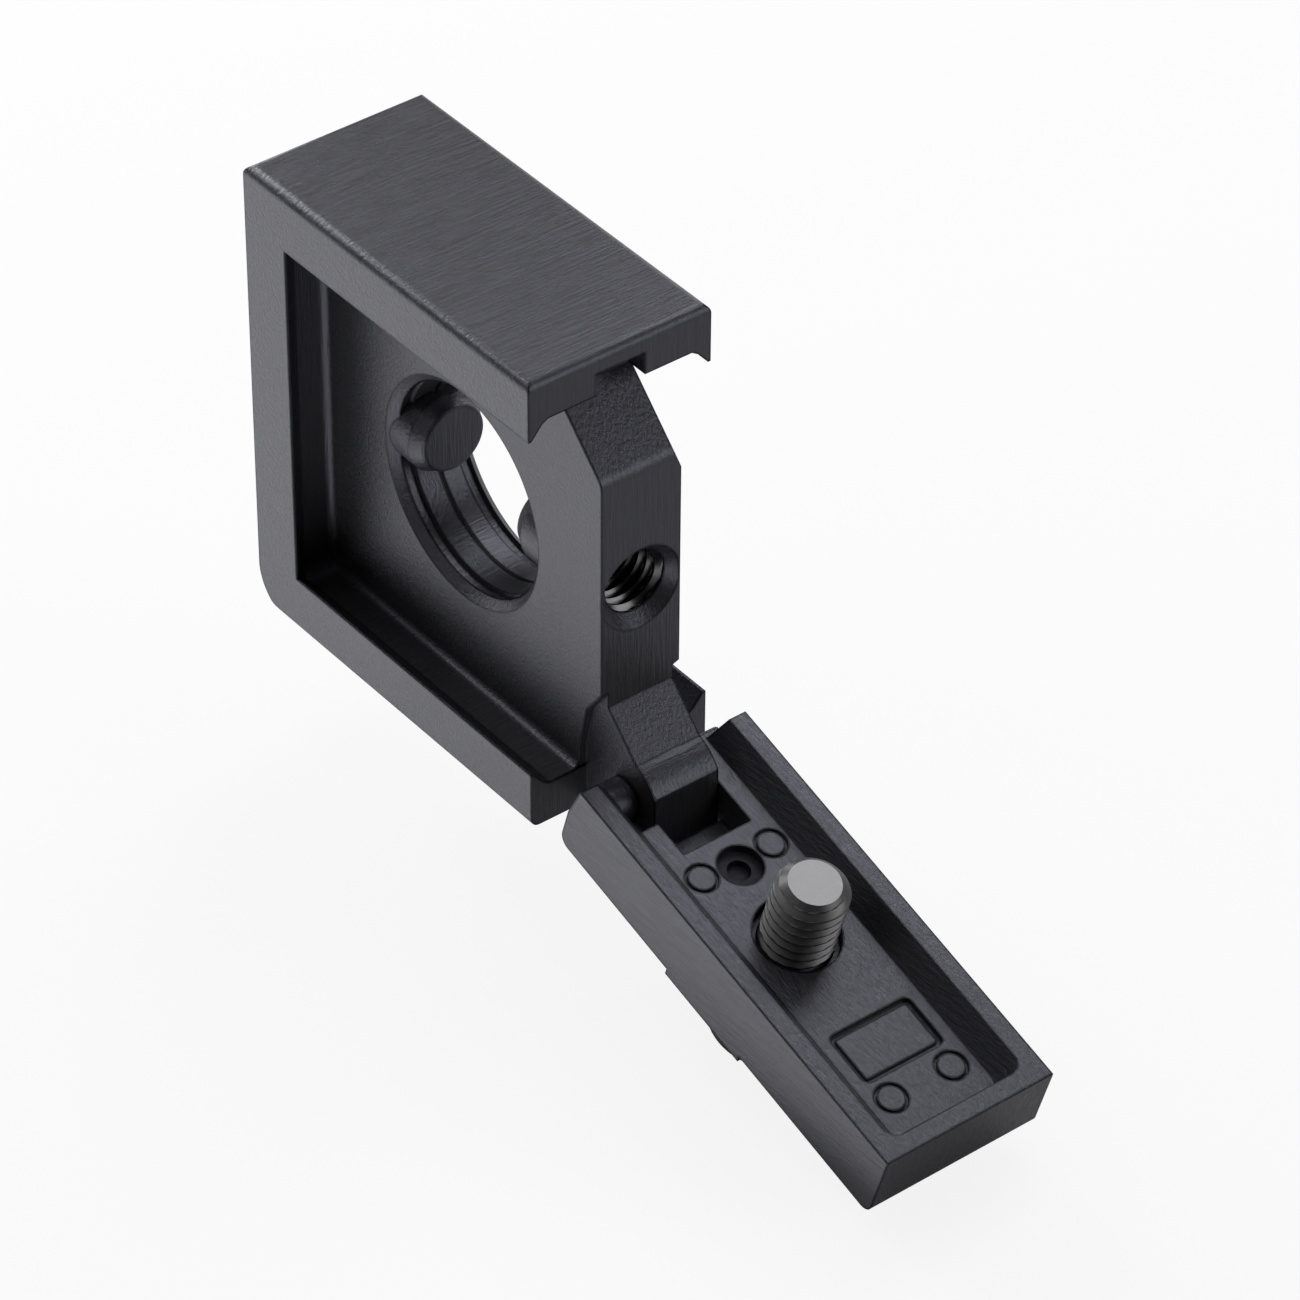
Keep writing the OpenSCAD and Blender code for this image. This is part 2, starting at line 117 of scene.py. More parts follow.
# Neighbouring faces that turn less than this are joined.
FLAT_ANGLE = math.radians(0.2)
# Edges that turn more than this stay sharp.
CAST_SHARP_ANGLE = math.radians(28)
SCREW_SHARP_ANGLE = math.radians(32)


def door_matrix():
    """The door's own frame: X along the door, Z towards its lips, in millimetres."""
    return Matrix.Translation(HINGE) @ Matrix.Rotation(DROOP, 4, "Y")


def circle(radius, steps, level):
    """Points of a circle round Z."""
    turns = [2 * math.pi * i / steps for i in range(steps)]
    return [(radius * math.cos(a), radius * math.sin(a), level) for a in turns]


# Materials
class Nodes:
    """Short calls that build a node tree from nothing."""

    def __init__(self, owner):
        owner.use_nodes = True
        self.tree = owner.node_tree
        self.tree.nodes.clear()

    def add(self, kind, **values):
        """A new node, with values for its properties and, by name, for its inputs."""
        node = self.tree.nodes.new(kind)
        for key, value in values.items():
            if hasattr(node, key) and key not in node.inputs:
                setattr(node, key, value)
            else:
                node.inputs[key].default_value = value
        return node

    def link(self, output, socket):
        self.tree.links.new(output, socket)

    def feed(self, socket, value):
        """Links another node's output to the socket, or sets a plain value on it."""
        if isinstance(value, bpy.types.NodeSocket):
            self.link(value, socket)
        elif isinstance(value, tuple):
            socket.default_value = (*value, 1.0)
        else:
            socket.default_value = value

    def math(self, kind, a, b):
        """One operation on two values; kind is Blender's name for it."""
        node = self.add("ShaderNodeMath", operation=kind)
        for socket, value in zip(node.inputs, (a, b)):
            self.feed(socket, value)
        return node.outputs[0]

    def mix(self, kind, fac, a, b):
        """Mix of two values or two colours; kind is FLOAT or RGBA."""
        node = self.add("ShaderNodeMix", data_type=kind)
        first = {"FLOAT": 2, "RGBA": 6}[kind]
        for index, value in ((0, fac), (first, a), (first + 1, b)):
            self.feed(node.inputs[index], value)
        return node.outputs[{"FLOAT": 0, "RGBA": 2}[kind]]

    def ramp(self, fac, *stops):
        """Grey ramp between two stops of (place, level)."""
        node = self.add("ShaderNodeValToRGB")
        for element, (place, level) in zip(node.color_ramp.elements, stops):
            element.position = place
            element.color = (level, level, level, 1.0)
        self.link(fac, node.inputs["Fac"])
        return node.outputs["Color"]

    def noise(self, coords, size, stretch=(1.0, 1.0, 1.0), detail=4.0, rough=0.6):
        """Noise with features about size millimetres across, longer by stretch on each axis."""
        mapping = self.add("ShaderNodeMapping")
        mapping.inputs["Scale"].default_value = tuple(1.0 / (MM * size * s) for s in stretch)
        self.link(coords, mapping.inputs["Vector"])
        node = self.add("ShaderNodeTexNoise", Scale=1.0, Detail=detail, Roughness=rough)
        self.link(mapping.outputs[0], node.inputs["Vector"])
        return node.outputs["Fac"]

    def bump(self, height, strength, distance, normal=None):
        """Normal that is tilted by a height, whose full range is distance millimetres."""
        node = self.add("ShaderNodeBump", Strength=strength, Distance=distance * MM)
        self.link(height, node.inputs["Height"])
        if normal is not None:
            self.link(normal, node.inputs["Normal"])
        return node.outputs[0]


COAT_IOR = 1.70
COAT_TINT = (0.82, 0.83, 1.0, 1.0)
# How much longer streaks are along each axis.
ALONG_X = (10.0, 1.0, 1.0)
ALONG_Y = (1.0, 14.0, 1.0)
ALONG_Z = (1.0, 1.0, 14.0)
# Sizes of the features of the surfaces, in millimetres.
GRAIN, STREAK, FRONT_STREAK, DAPPLE, CLOUD = 0.18, 0.28, 0.26, 0.7, 5.0
STEEL_GRAIN, STEEL_CLOUD = 0.12, 1.4


def scaled(colour, factor):
    """A colour made darker or lighter."""
    return tuple(c * factor for c in colour)


def cast_material(name, base, worn, roughness, streak=ALONG_Y, edge=0.32, specular=0.5):
    """Satin black die casting: fine grain, brushed streaks, soft mottling, worn edges and painted
    dark lines along sharp edges.
    """
    material = bpy.data.materials.new(name)
    n = Nodes(material)
    out = n.add("ShaderNodeOutputMaterial")
    shader = n.add("ShaderNodeBsdfPrincipled")
    shader.inputs["IOR"].default_value = COAT_IOR
    shader.inputs["Specular Tint"].default_value = COAT_TINT
    shader.inputs["Specular IOR Level"].default_value = specular
    n.link(shader.outputs[0], out.inputs["Surface"])
    texture = n.add("ShaderNodeTexCoord")
    coords = texture.outputs["Object"]

    grain = n.noise(coords, GRAIN, detail=3.0)
    clouds = n.noise(coords, CLOUD, detail=3.0, rough=0.5)
    dapple = n.noise(coords, DAPPLE, detail=3.0, rough=0.6)
    # Faces that look along X were brushed up and down, the others along the streak.
    facing = n.add("ShaderNodeSeparateXYZ")
    n.link(texture.outputs["Normal"], facing.inputs[0])
    faces_x = n.math("GREATER_THAN", n.math("ABSOLUTE", facing.outputs[0], 0.0), 0.6)
    side_streaks = n.noise(coords, STREAK, streak, detail=5.0)
    front_streaks = n.noise(coords, FRONT_STREAK, ALONG_Z, detail=5.0)
    streaks = n.mix("FLOAT", faces_x, side_streaks, front_streaks)

    # Sharp edges are where the rounded normal leaves the flat one.
    bevel = n.add("ShaderNodeBevel", samples=6)
    bevel.inputs["Radius"].default_value = edge * MM
    dot = n.add("ShaderNodeVectorMath", operation="DOT_PRODUCT")
    n.link(bevel.outputs[0], dot.inputs[0])
    n.link(n.add("ShaderNodeNewGeometry").outputs["Normal"], dot.inputs[1])
    turned = n.math("SUBTRACT", 1.0, dot.outputs["Value"])
    wear = n.ramp(turned, (0.015, 0.0), (0.22, 1.0))
    wear = n.math("MULTIPLY", wear, n.ramp(streaks, (0.3, 0.45), (0.7, 1.0)))
    # On them the coat turns metallic and reflects less: painted dark lines, a painted dark
    # reflection standing in for what rounded edges mirror.
    n.link(n.ramp(turned, (0.002, 0.0), (0.035, 0.92)), shader.inputs["Metallic"])

    grained = n.ramp(grain, (0.3, 0.0), (0.7, 1.0))
    colour = n.mix("RGBA", grained, scaled(base, 0.86), scaled(base, 1.12))
    clouded = n.ramp(clouds, (0.35, 0.0), (0.75, 0.35))
    colour = n.mix("RGBA", clouded, colour, scaled(base, 0.9))
    colour = n.mix("RGBA", n.math("MULTIPLY", wear, 0.05), colour, worn)
    n.link(colour, shader.inputs["Base Color"])

    spread = n.math("MULTIPLY", n.math("SUBTRACT", streaks, 0.5), 0.36)
    rough = n.math("ADD", roughness, spread)
    rough = n.math("SUBTRACT", rough, n.math("MULTIPLY", wear, 0.08))
    n.link(rough, shader.inputs["Roughness"])

    height = n.math("MULTIPLY", grain, 0.7)
    height = n.math("ADD", height, n.math("MULTIPLY", streaks, 3.4))
    height = n.math("ADD", height, n.math("MULTIPLY", dapple, 0.8))
    n.link(n.bump(height, 0.5, 0.035, bevel.outputs[0]), shader.inputs["Normal"])
    return material


def steel_material(name, base, roughness, stretch=(1.0, 1.0, 1.0)):
    """Bare metal with a fine grain and faint clouds."""
    material = bpy.data.materials.new(name)
    n = Nodes(material)
    out = n.add("ShaderNodeOutputMaterial")
    shader = n.add("ShaderNodeBsdfPrincipled", Metallic=1.0)
    n.link(shader.outputs[0], out.inputs["Surface"])
    coords = n.add("ShaderNodeTexCoord").outputs["Object"]
    grain = n.noise(coords, STEEL_GRAIN, stretch)
    clouds = n.noise(coords, STEEL_CLOUD, detail=3.0)
    dark = scaled(base, 0.8)
    colour = n.mix("RGBA", n.ramp(grain, (0.3, 0.0), (0.7, 1.0)), dark, base)
    colour = n.mix("RGBA", n.ramp(clouds, (0.4, 0.0), (0.8, 0.3)), colour, dark)
    n.link(colour, shader.inputs["Base Color"])
    spread = n.math("MULTIPLY", n.math("SUBTRACT", grain, 0.5), 0.16)
    n.link(n.math("ADD", roughness, spread), shader.inputs["Roughness"])
    n.link(n.bump(grain, 0.35, 0.01), shader.inputs["Normal"])
    return material


COAT = (0.016, 0.0163, 0.0172)
COAT_WORN = (0.10, 0.10, 0.104)
BODY = cast_material("black_cast", COAT, COAT_WORN, 0.36)
DOOR = cast_material("black_cast_door", COAT, COAT_WORN, 0.37, streak=ALONG_X)
SCREW = steel_material("oiled_steel", (0.130, 0.130, 0.133), 0.44)
TIP = steel_material("cut_steel_end", (0.29, 0.29, 0.30), 0.45)
PIN = steel_material("pin_steel", (0.62, 0.62, 0.64), 0.3, stretch=(1.0, 10.0, 1.0))
THREAD = steel_material("tapped_metal", (0.11, 0.11, 0.114), 0.24)
# Rough surface of the broken gate, in a darker colour that paints shade into its pit.
GATE_BREAK_AND_SHADE = cast_material("gate_break_and_shade", (0.007, 0.007, 0.0075), (0.02, 0.02, 0.02), 0.62,
                     edge=0.05, specular=0.25)
RETAINER = cast_material("retainer_plastic", (0.012, 0.012, 0.013), (0.03, 0.03, 0.03), 0.5,
                         edge=0.05)


def paint(obj, *materials):
    """Gives an object these materials, in this order, in place of its own."""
    obj.data.materials.clear()
    for material in materials:
        obj.data.materials.append(material)


def mesh_object(name, verts, faces, matrix=Matrix.Identity(4)):
    """A mesh written in millimetres in a local frame, laid in the row frame in metres."""
    mesh = bpy.data.meshes.new(name)
    mesh.from_pydata([(matrix @ Vector(v)) * MM for v in verts], [], faces)
    obj = bpy.data.objects.new(name, mesh)
    bpy.context.scene.collection.objects.link(obj)
    bm = bmesh.new()
    bm.from_mesh(mesh)
    bmesh.ops.remove_doubles(bm, verts=bm.verts, dist=MERGE_DISTANCE)
    bmesh.ops.recalc_face_normals(bm, faces=bm.faces)
    bm.to_mesh(mesh)
    bm.free()
    return obj


def thread_radius(phase, outer, inner):
    """Radius of a V thread at a phase of 0 to 1 along one pitch, with small flats."""
    crest, root = 0.16, 0.12
    flank = (1.0 - crest - root) / 2
    if phase < crest:
        return outer
    if phase < crest + flank:
        return outer + (inner - outer) * (phase - crest) / flank
    if phase < crest + flank + root:
        return inner
    return inner + (outer - inner) * (phase - crest - flank - root) / flank


# Clamp screw
NECK_RADIUS = SCREW_RADIUS - 0.1
CREST_RADIUS = SCREW_RADIUS - 0.01
# Profile from the rim of the socket round the head to the neck, as radius and level.
HEAD_PROFILE = (
    (HEAD_RADIUS - 1.55, -HEAD_HEIGHT),
    (HEAD_RADIUS - 0.55, -HEAD_HEIGHT),
    (HEAD_RADIUS - 0.22, -HEAD_HEIGHT + 0.12),
    (HEAD_RADIUS - 0.06, -HEAD_HEIGHT + 0.34),
    (HEAD_RADIUS, -HEAD_HEIGHT + 0.6),
    (HEAD_RADIUS, -0.22),
    (HEAD_RADIUS - 0.1, -0.06),
    (HEAD_RADIUS - 0.25, 0.0),
    (SCREW_RADIUS - 0.05, 0.0),
    (NECK_RADIUS, 0.1),
    (NECK_RADIUS, 0.6),
)


def screw_rings(steps, rows):
    """Rings of the screw round its head and along its thread, with that many rows in a pitch."""
    rings = [circle(radius, steps, level) for radius, level in HEAD_PROFILE]
    start, end = SCREW_THREAD_START, SCREW_LENGTH - 0.05
    root = SCREW_RADIUS - SCREW_THREAD_DEPTH
    count = round((end - start) / PITCH * rows)
    for k in range(count + 1):
        level = start + (end - start) * k / count
        fade = min(1.0, max(0.0, (level - start) / SCREW_THREAD_FADE))
        limit = SCREW_RADIUS - max(0.0, level - SCREW_LENGTH + TIP_CHAMFER)
        ring = []
        for i in range(steps):
            radius = thread_radius((level / PITCH - i / steps) % 1.0, CREST_RADIUS, root)
            radius = min(NECK_RADIUS * (1 - fade) + radius * fade, limit)
            angle = 2 * math.pi * i / steps
            ring.append((radius * math.cos(angle), radius * math.sin(angle), level))
        rings.append(ring)
    rings.append(circle(SCREW_RADIUS - TIP_CHAMFER, steps, SCREW_LENGTH))
    return rings


def hexagon(half_width, steps, level):
    """Points of a hexagon round Z, from the middle of the flat that lies 30 degrees from X."""
    ring = []
    for i in range(steps):
        angle = 2 * math.pi * i / steps
        sector = (angle + math.pi / 6) % (math.pi / 3) - math.pi / 6
        radius = half_width / math.cos(sector)
        angle += math.pi / 6
        ring.append((radius * math.cos(angle), radius * math.sin(angle), level))
    return ring


def build_screw():
    """Socket-head clamp screw with a real helical thread and a plain flat tip."""
    steps, rows = 60, 16
    rings = screw_rings(steps, rows)
    faces = []

    def bridge(a, b, turn=0):
        """Quads between the rings that start at a and b, b turned by some steps."""
        for i in range(steps):
            j = (i + 1) % steps
            faces.append((a + i, a + j, b + (j + turn) % steps, b + (i + turn) % steps))

    for k in range(len(rings) - 1):
        bridge(k * steps, (k + 1) * steps)
    last = (len(rings) - 1) * steps
    faces.append(tuple(range(last, last + steps)))

    # The hexagon socket, which the first ring meets, with a drilled cone at its bottom.
    flat = SOCKET_WIDTH / 2
    rim = len(rings) * steps
    rings += [hexagon(flat + SOCKET_BEVEL, steps, -HEAD_HEIGHT),
              hexagon(flat, steps, -HEAD_HEIGHT + SOCKET_BEVEL),
              hexagon(flat, steps, -HEAD_HEIGHT + SOCKET_DEPTH)]
    bridge(rim, 0, steps // 12)
    bridge(rim + steps, rim)
    bridge(rim + 2 * steps, rim + steps)
    verts = [point for ring in rings for point in ring]
    bottom = len(verts)
    verts.append((0.0, 0.0, -HEAD_HEIGHT + SOCKET_DEPTH + SOCKET_CONE))
    for i in range(steps):
        wall = rim + 2 * steps
        faces.append((bottom, wall + (i + 1) % steps, wall + i))

    placed = door_matrix() @ Matrix.Translation((SCREW_PLACE, 0, SEAT_LEVEL))
    obj = mesh_object("clamp_screw_threaded", verts, faces, placed)
    paint(obj, SCREW, TIP)
    # The flat end of the tip is bare cut steel, brighter than the rest.
    up = (placed.to_3x3() @ Vector((0, 0, 1))).normalized()
    top = (placed @ Vector((0, 0, SCREW_LENGTH))) * MM
    for face in obj.data.polygons:
        if face.normal.dot(up) > 0.999 and abs((face.center - top).dot(up)) < 0.02 * MM:
            face.material_index = 1
    obj.data.shade_smooth()
    obj.data.set_sharp_from_angle(angle=SCREW_SHARP_ANGLE)
    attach(obj, "screw")
    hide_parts("clamp_screw")


# Body and door
def cad_copy(node, name, *materials):
    """A copy of a CAD solid to refine, its vertices joined again, in the row frame."""
    mesh = nodes[node].data.copy()
    mesh.transform(nodes[node].matrix_world)
    obj = bpy.data.objects.new(name, mesh)
    bpy.context.scene.collection.objects.link(obj)
    bm = bmesh.new()
    bm.from_mesh(mesh)
    bmesh.ops.remove_doubles(bm, verts=bm.verts, dist=MERGE_DISTANCE)
    bmesh.ops.dissolve_limit(bm, angle_limit=FLAT_ANGLE, verts=bm.verts, edges=bm.edges)
    bm.to_mesh(mesh)
    bm.free()
    paint(obj, *materials)
    return obj


def combine(target, tool, operation):
    """Cuts the closed mesh tool from target, or joins it to target, for good."""
    modifier = target.modifiers.new("combine", "BOOLEAN")
    modifier.operation = operation
    modifier.solver = "EXACT"
    modifier.object = tool
    graph = bpy.context.evaluated_depsgraph_get()
    mesh = bpy.data.meshes.new_from_object(target.evaluated_get(graph))
    target.modifiers.remove(modifier)
    target.data = mesh
    bpy.data.objects.remove(tool)


def prism(name, outline, half_width, matrix=Matrix.Identity(4)):
    """Closed prism with an outline in X and Z, and plus or minus half_width in Y."""
    count = len(outline)
    verts = [(x, y, z) for y in (-half_width, half_width) for x, z in outline]
    faces = [tuple(range(count)), tuple(range(2 * count - 1, count - 1, -1))]
    faces += [(i, (i + 1) % count, count + (i + 1) % count, count + i) for i in range(count)]
    return mesh_object(name, verts, faces, matrix)


def thread_cutter(name, matrix, length):
    """Closed cutter for an M6 thread in a hole of the core radius, from Z 0 to length."""
    steps, rows = 48, 14
    count = int(length * rows)
    inner, outer = CORE_RADIUS - HOLE_THREAD_INSET, CORE_RADIUS + HOLE_THREAD_DEPTH
    verts, faces = [], []
    for k in range(count + 1):
        level = length * k / count
        fade = min(1.0, (length - level) / HOLE_THREAD_FADE)
        for i in range(steps):
            radius = thread_radius((level / PITCH - i / steps) % 1.0, outer, inner)
            radius = inner + (radius - inner) * fade
            angle = 2 * math.pi * i / steps
            verts.append((radius * math.cos(angle), radius * math.sin(angle), level))
    for k in range(count):
        for i in range(steps):
            a, b = k * steps + i, k * steps + (i + 1) % steps
            faces.append((a, b, b + steps, a + steps))
    faces.append(tuple(range(steps - 1, -1, -1)))
    faces.append(tuple(count * steps + i for i in range(steps)))
    cutter = mesh_object(name, verts, faces, matrix)
    # What it cuts is bare metal, the second material of the body as well.
    paint(cutter, BODY, THREAD)
    for face in cutter.data.polygons:
        face.material_index = 1
    return cutter


def finish_solid(obj, body, node):
    """Shades a refined solid by angle, free of the normals that came with the import."""
    for name in ("custom_normal", "sharp_edge", "sharp_face"):
        if name in obj.data.attributes:
            obj.data.attributes.remove(obj.data.attributes[name])
    obj.data.shade_smooth()
    obj.data.set_sharp_from_angle(angle=CAST_SHARP_ANGLE)
    modifier = obj.modifiers.new("even_normals", "WEIGHTED_NORMAL")
    modifier.keep_sharp = True
    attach(obj, body)
    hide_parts(node)


def cut_threads(body):
    """Real threads in the clamp hole and the rear hole, each from just outside its mouth."""
    for name, place, turn, length in (
        ("clamp_thread", WEB_REACH + HOLE_THREAD_LEAD, -math.pi / 2, CLAMP_THREAD_LENGTH),
        ("rear_thread", -BACK_REACH - HOLE_THREAD_LEAD, math.pi / 2, REAR_THREAD_LENGTH),
    ):
        matrix = Matrix.Translation((place, 0, 0)) @ Matrix.Rotation(turn, 4, "Y")
        combine(body, thread_cutter(name, matrix, length), "DIFFERENCE")


def round_crease(body):
    """Rounds the crease between the web's front edge and its slope."""
    crease = WEB_SLOPE_SUM - WEB_REACH
    x = WEB_REACH - CREASE_ROUNDING
    z = crease - CREASE_ROUNDING * math.tan(math.pi / 8)
    turn = [math.pi / 4 * k / 10 for k in range(11)]
    outline = [(x + CREASE_ROUNDING * math.cos(a), z + CREASE_ROUNDING * math.sin(a)) for a in turn]
    outline += [(outline[-1][0] + 1.0, outline[-1][1] + 1.0), (WEB_REACH + 1.0, z)]
    combine(body, prism("crease", outline, CREASE_TOOL_HALF_WIDTH), "DIFFERENCE")


def round_knuckle(body):
    """Swaps the straight top of the hinge tongue's nose for an arc round the pin."""
    hinge = Matrix.Translation(HINGE)
    x, z = KNUCKLE_START
    nose = NOSE_REACH - HINGE.x - HAIR
    # The old nose goes first, in a room that is larger than it is.
    front, top = nose + 1.0, z + 3.2
    room = [(x, KNUCKLE_FLOOR), (x, top), (front, top), (front, KNUCKLE_FLOOR)]
    room = prism("knuckle_room", room, TONGUE_HALF_WIDTH + TOOL_MARGIN, hinge)
    combine(body, room, "DIFFERENCE")

    radius = math.hypot(x, z)
    first, last = math.atan2(z, x), math.acos(nose / radius)
    arc = [first + (last - first) * k / 14 for k in range(15)]
    back, bottom = x - KNUCKLE_BACK, KNUCKLE_FLOOR - KNUCKLE_DOWN
    outline = [(back, bottom), (back, z + KNUCKLE_RISE)]
    outline += [(radius * math.cos(a), radius * math.sin(a)) for a in arc]
    outline += [(nose, bottom)]
    combine(body, prism("knuckle", outline, TONGUE_HALF_WIDTH - HAIR, hinge), "UNION")


def build_body():
    """The cast body with threads in both holes, a rounded crease and a rounded knuckle."""
    body = cad_copy("clamp_body", "clamp_body_threaded", BODY, THREAD)
    cut_threads(body)
    round_crease(body)
    round_knuckle(body)
    finish_solid(body, "frame", "clamp_body")


def corner_filler(side):
    """Filler that rounds one inner corner of the door's rim, on the door's own frame."""
    rounding, margin, segments = CORNER_ROUNDING, TOOL_MARGIN, 8
    # Far end and half width of the door's hollow, at its lips and at its floor.
    at_lips = (DOOR_FAR_END - LIP_FLAT, DOOR_HALF_WIDTH - LIP_FLAT)
    at_floor = (at_lips[0] - END_LIP_SLOPE, at_lips[1] - LIP_SLOPE)
    verts = []
    for level, (end, edge) in (
        (FLOOR_LEVEL - CORNER_FILLER_DEPTH, at_floor),
        (FLOOR_LEVEL, at_floor),
        (LIP_LEVEL - HAIR, at_lips),
    ):
        ring = [(end + margin, edge + margin), (end + margin, edge - rounding)]
        for k in range(segments + 1):
            angle = math.pi / 2 * k / segments
            ring.append((end - rounding + rounding * math.cos(angle),
                         edge - rounding + rounding * math.sin(angle)))
        ring.append((end - rounding, edge + margin))
        verts += [(x, side * y, level) for x, y in ring]
    count = segments + 4
    top = 2 * count
    faces = []
    for start in (0, count):
        for i in range(count):
            a, b = start + i, start + (i + 1) % count
            faces.append((a, b, b + count, a + count))
    for i in range(1, count - 1):
        faces.append((0, i + 1, i))
        faces.append((top, top + i, top + i + 1))
    return mesh_object("filler", verts, faces, door_matrix())


def build_door():
    """The door with rounded inner corners at the far end of its rim."""
    door = cad_copy("door", "door_cast", DOOR, GATE_BREAK_AND_SHADE)
    for side in (-1, 1):
        combine(door, corner_filler(side), "UNION")
    # The gate was broken off inside its pit, which stays rough there; the pit's faces also get a
    # darker colour, painted shade in the recess.
    to_door = door_matrix().inverted()
    bottom = FLOOR_LEVEL - GATE_DEPTH - GATE_PIT_DEPTH
    for face in door.data.polygons:
        centre = to_door @ (face.center / MM)
        inside = math.hypot(centre.x - GATE_PLACE, centre.y) < GATE_RADIUS + 0.02
        if inside and bottom - 0.05 < centre.z < FLOOR_LEVEL - 0.05:
            face.material_index = 1
    finish_solid(door, "door", "door")


build_screw()
build_body()
build_door()
paint(nodes["hinge_pin"], PIN)
paint(nodes["screw_retainer"], RETAINER)


# Stage, with lengths in metres
FLOOR_HALF_SIZE = 3.0
FLOOR_GAP = 0.0003
FLOOR_GREY = 0.8
# The glow's share of what the camera sees of the floor, and how much of that reflections take.
GLOW_SHARE = 0.86
GLOW_IN_REFLECTIONS = 0.4
# Strength of the floor's glow for every ray that isn't the camera's.
UNSEEN_GLOW = 0.02
# Grey of the world round the object, and behind it in the picture.
WORLD_AROUND, WORLD_BEHIND = 0.02, 0.985


def seen_directly(n, path):
    """Whether a ray comes from the camera, or from there through glass."""
    return n.math("MAXIMUM", path.outputs["Is Camera Ray"], path.outputs["Is Transmission Ray"])


def floor_material():
    """Pale floor that shows as white to the camera and still keeps a soft shadow."""
    material = bpy.data.materials.new("floor_white")
    n = Nodes(material)
    out = n.add("ShaderNodeOutputMaterial")
    diffuse = n.add("ShaderNodeBsdfDiffuse")
    diffuse.inputs["Color"].default_value = (FLOOR_GREY, FLOOR_GREY, FLOOR_GREY, 1.0)
    glow = n.add("ShaderNodeEmission")
    glow.inputs["Color"].default_value = (1.0, 1.0, 1.0, 1.0)
    path = n.add("ShaderNodeLightPath")
    direct = seen_directly(n, path)
    mirrored = n.math("MULTIPLY", path.outputs["Is Glossy Ray"], GLOW_IN_REFLECTIONS)
    seen = n.math("MAXIMUM", direct, mirrored)
    strength = n.math("MULTIPLY", direct, 1.0 - UNSEEN_GLOW)
    n.link(n.math("ADD", strength, UNSEEN_GLOW), glow.inputs["Strength"])
    mix = n.add("ShaderNodeMixShader")
    n.link(n.math("MULTIPLY", seen, GLOW_SHARE), mix.inputs[0])
    n.link(diffuse.outputs[0], mix.inputs[1])
    n.link(glow.outputs[0], mix.inputs[2])
    # Clear from below, so that the underside can be looked at.
    side = n.add("ShaderNodeMixShader")
    n.link(n.add("ShaderNodeNewGeometry").outputs["Backfacing"], side.inputs[0])
    n.link(mix.outputs[0], side.inputs[1])
    n.link(n.add("ShaderNodeBsdfTransparent").outputs[0], side.inputs[2])
    n.link(side.outputs[0], out.inputs["Surface"])
    return material


def build_floor():
    """A wide floor just under the object."""
    size, level = FLOOR_HALF_SIZE, cad_box[0].z - FLOOR_GAP
    verts = [(-size, -size, level), (size, -size, level), (size, size, level), (-size, size, level)]
    mesh = bpy.data.meshes.new("floor")
    mesh.from_pydata(verts, [], [(0, 1, 2, 3)])
    floor = bpy.data.objects.new("floor", mesh)
    bpy.context.scene.collection.objects.link(floor)
    paint(floor, floor_material())


def area_light(name, place, target, size, power):
    """A rectangular lamp that looks at its target."""
    data = bpy.data.lights.new(name, "AREA")
    data.shape = "RECTANGLE"
    data.size, data.size_y = size
    data.energy = power
    obj = bpy.data.objects.new(name, data)
    bpy.context.scene.collection.objects.link(obj)
    obj.location = place
    obj.rotation_mode = "QUATERNION"
    obj.rotation_quaternion = (Vector(target) - Vector(place)).to_track_quat("-Z", "Y")


def build_world():
    """White to the camera, and nearly dark to the object."""
    world = bpy.data.worlds.new("studio")
    bpy.context.scene.world = world
    n = Nodes(world)
    out = n.add("ShaderNodeOutputWorld")
    pick = n.add("ShaderNodeMixShader")
    n.link(seen_directly(n, n.add("ShaderNodeLightPath")), pick.inputs[0])
    for index, grey in ((1, WORLD_AROUND), (2, WORLD_BEHIND)):
        shade = n.add("ShaderNodeBackground")
        shade.inputs["Color"].default_value = (grey, grey, grey, 1.0)
        n.link(shade.outputs[0], pick.inputs[index])
    n.link(pick.outputs[0], out.inputs["Surface"])


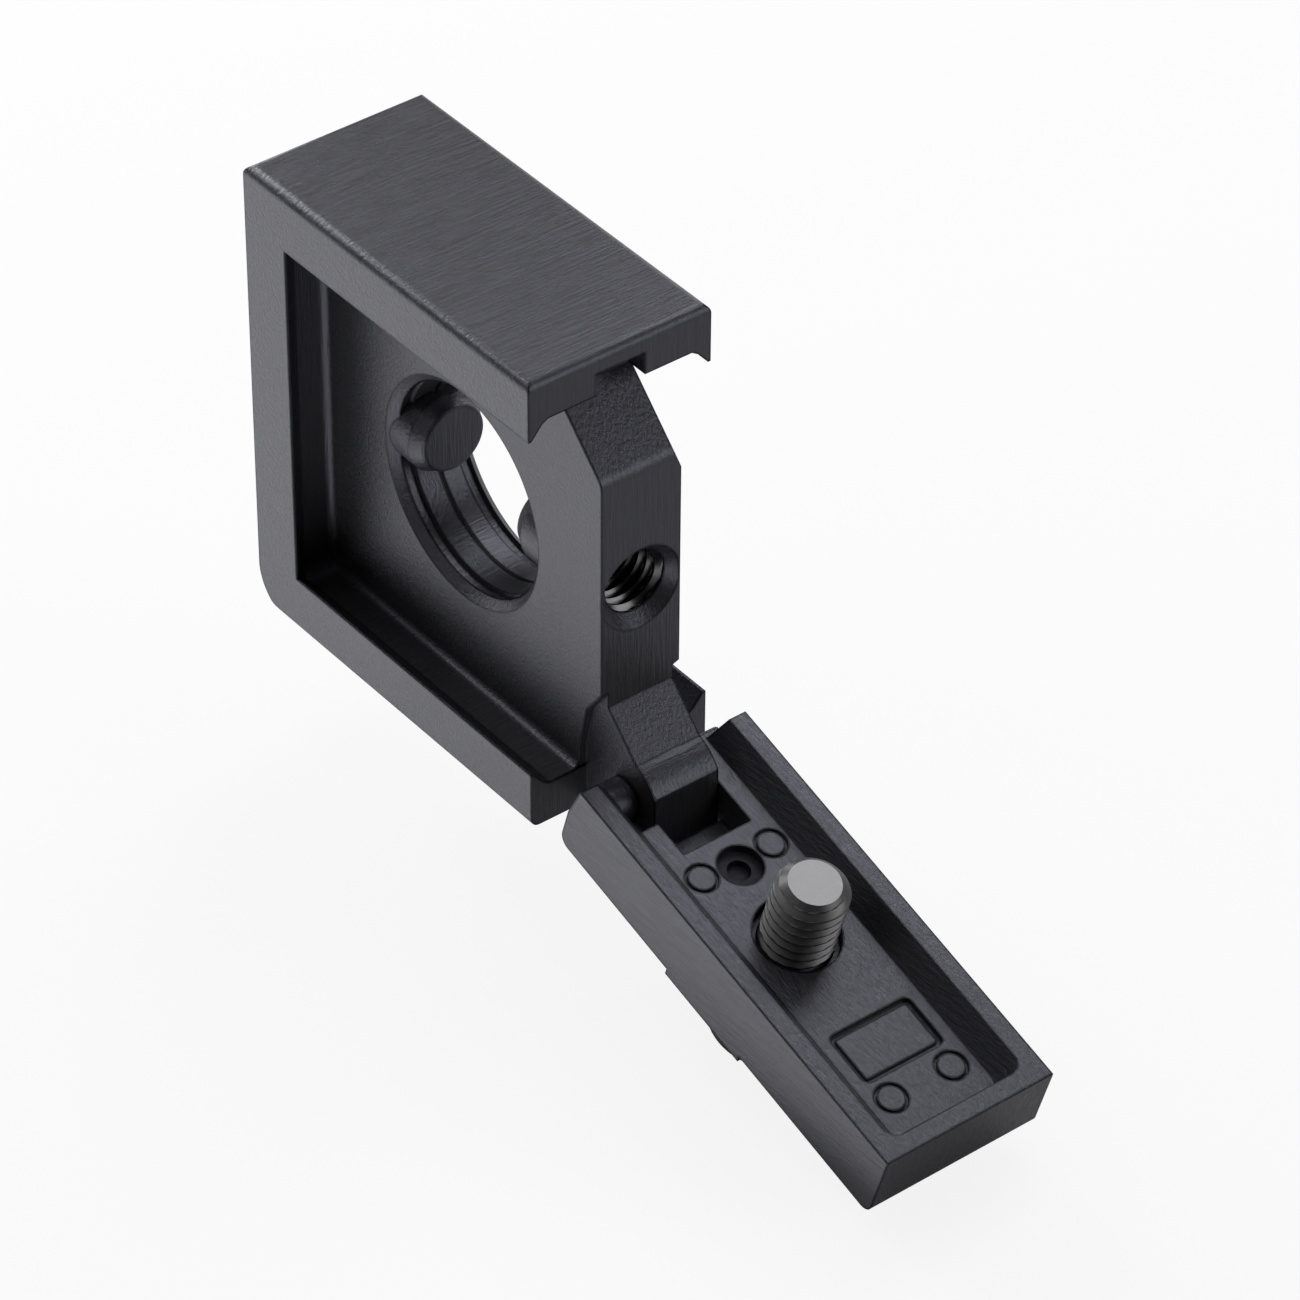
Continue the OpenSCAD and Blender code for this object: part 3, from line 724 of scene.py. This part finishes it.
# Soft boxes round the object, and a white card that lies on the floor in front of it:
# name, place, what it looks at, size in metres and power in watts.
ORIGIN = (0.0, 0.0, 0.0)
CENTRE = (0.01, 0.0, -0.01)
LAMPS = (
    ("left_low", (-0.569, 0.0, 0.190), CENTRE, (0.45, 0.45), 4.1),
    ("back_top", (-0.15, 0.35, 0.50), ORIGIN, (0.30, 0.30), 1.06),
    ("back_low", (-0.30, 0.55, 0.20), ORIGIN, (0.40, 0.40), 0.87),
    ("above", (0.0, 0.0, 0.60), CENTRE, (0.45, 0.45), 0.72),
    ("right_back", (0.50, 0.35, 0.20), ORIGIN, (0.40, 0.40), 1.25),
    ("front", (0.060, -0.478, 0.358), CENTRE, (0.45, 0.45), 0.23),
    ("front_left", (-0.20, -0.22, 0.30), (-0.12, -0.14, -0.03), (0.25, 0.25), 0.17),
    ("card", (-0.052, -0.106, -0.031), (-0.052, -0.106, 0.5), (0.26, 0.19), 0.147),
)

build_floor()
for lamp in LAMPS:
    area_light(*lamp)
build_world()

# Camera, as it was fitted to the photograph, with its place in metres
AZIMUTH = math.radians(51.694426)
ELEVATION = math.radians(38.654293)
ROLL = math.radians(0.468998)
CAMERA_PLACE = (0.30452, -0.22572, 0.28603)
SENSOR_WIDTH = 36.0
FOCAL_PIXELS = 6176.1
IMAGE_PIXELS = 1300.0


def build_camera():
    """The photograph's camera; azimuth 0 looks from the front, and 90 degrees from the right."""
    flat = math.cos(ELEVATION)
    back = Vector((math.sin(AZIMUTH) * flat, -math.cos(AZIMUTH) * flat, math.sin(ELEVATION)))
    right = Vector((math.cos(AZIMUTH), math.sin(AZIMUTH), 0.0))
    up = back.cross(right)
    right, up = (right * math.cos(ROLL) + up * math.sin(ROLL),
                 up * math.cos(ROLL) - right * math.sin(ROLL))
    data = bpy.data.cameras.new("camera")
    data.sensor_fit = "HORIZONTAL"
    data.sensor_width = SENSOR_WIDTH
    data.lens = SENSOR_WIDTH * FOCAL_PIXELS / IMAGE_PIXELS
    data.clip_start, data.clip_end = 0.01, 10.0
    camera = bpy.data.objects.new("camera", data)
    bpy.context.scene.collection.objects.link(camera)
    turn = Matrix((right, up, back)).transposed().to_4x4()
    camera.matrix_world = Matrix.Translation(CAMERA_PLACE) @ turn
    return camera


camera = build_camera()
bpy.context.scene.camera = camera
bpy.context.scene.view_settings.view_transform = "Standard"
